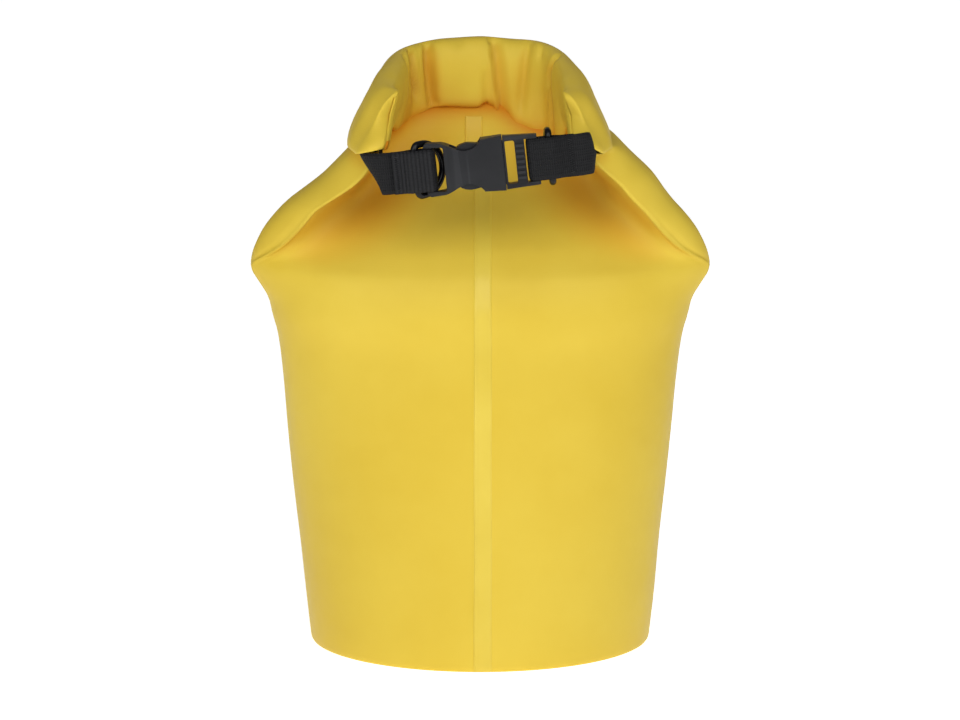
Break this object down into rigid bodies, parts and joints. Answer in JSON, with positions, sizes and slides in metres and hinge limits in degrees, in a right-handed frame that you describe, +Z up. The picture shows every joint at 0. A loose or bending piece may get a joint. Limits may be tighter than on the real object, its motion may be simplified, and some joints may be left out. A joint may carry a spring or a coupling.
{
  "type": "roll-top dry bag",
  "caption": "Yellow coated-fabric dry bag, filled, its rolled mouth bent forward into a C and clipped in front by black webbing, a side-release buckle and D-rings.",
  "frame": {"origin": "centre of the round base, on the surface that the bag stands on", "axes": "+Z up; the buckle side faces -Y; +X to the right as seen from the buckle side"},
  "size_m": [0.273, 0.2007, 0.3546],
  "materials": {
    "bag_fabric": "satin PVC coating, welded",
    "stiffener": "plain flexible strip",
    "webbing": "woven, ribbed",
    "thread": "bonded thread",
    "ring_plastic": "glossy moulded",
    "buckle_plastic": "satin moulded"
  },
  "bodies": {
    "bag": {"bag_body": "bag_fabric", "front_weld_seam": "bag_fabric", "base_disc": "bag_fabric", "base_weld_band": "bag_fabric", "rolled_mouth": "bag_fabric", "mouth_stiffener_front": "stiffener", "mouth_stiffener_back": "stiffener", "mouth_webbing": "webbing"},
    "socket_half": {"buckle_socket": "buckle_plastic", "left_webbing": "webbing", "left_bar_tack": "thread"},
    "plug_half": {"buckle_plug_frame": "buckle_plastic", "right_webbing": "webbing", "right_bar_tack": "thread"},
    "upper_prong": {"upper_prong": "buckle_plastic"},
    "lower_prong": {"lower_prong": "buckle_plastic"},
    "left_ring": {"left_d_ring": "ring_plastic"},
    "right_ring": {"right_d_ring": "ring_plastic"}
  },
  "joints": [
    {"name": "buckle_release", "type": "slide", "parent": "bag", "child": "plug_half", "axis": [0.9945, 0, 0.1045], "range_m": [0, 0.011], "deforming": ["right_webbing"]},
    {"name": "socket_release", "type": "slide", "parent": "bag", "child": "socket_half", "axis": [-0.9945, 0, -0.1045], "range_m": [0, 0.017], "deforming": ["left_webbing"]},
    {"name": "upper_prong_press", "type": "hinge", "parent": "plug_half", "child": "upper_prong", "pos_m": [0.00541, -0.084, 0.31231], "axis": [0, -1, 0], "range_deg": [0, 14], "stiffness_Nm_per_rad": 0.2},
    {"name": "lower_prong_press", "type": "hinge", "parent": "plug_half", "child": "lower_prong", "pos_m": [0.00768, -0.084, 0.29073], "axis": [0, 1, 0], "range_deg": [0, 14], "stiffness_Nm_per_rad": 0.2},
    {"name": "left_ring_swing", "type": "hinge", "parent": "socket_half", "child": "left_ring", "pos_m": [-0.03732, -0.084, 0.29691], "axis": [-0.1045, 0, 0.9945], "range_deg": [0, 30]},
    {"name": "right_ring_swing", "type": "hinge", "parent": "plug_half", "child": "right_ring", "pos_m": [0.04125, -0.084, 0.30516], "axis": [-0.1045, 0, 0.9945], "range_deg": [0, 28]}
  ],
  "couplings": [
    {"joint": "socket_release", "follows": "buckle_release", "ratio": 1.545},
    {"joint": "upper_prong_press", "follows": "buckle_release", "rad_per_m": 22.212},
    {"joint": "lower_prong_press", "follows": "buckle_release", "rad_per_m": 22.212}
  ]
}
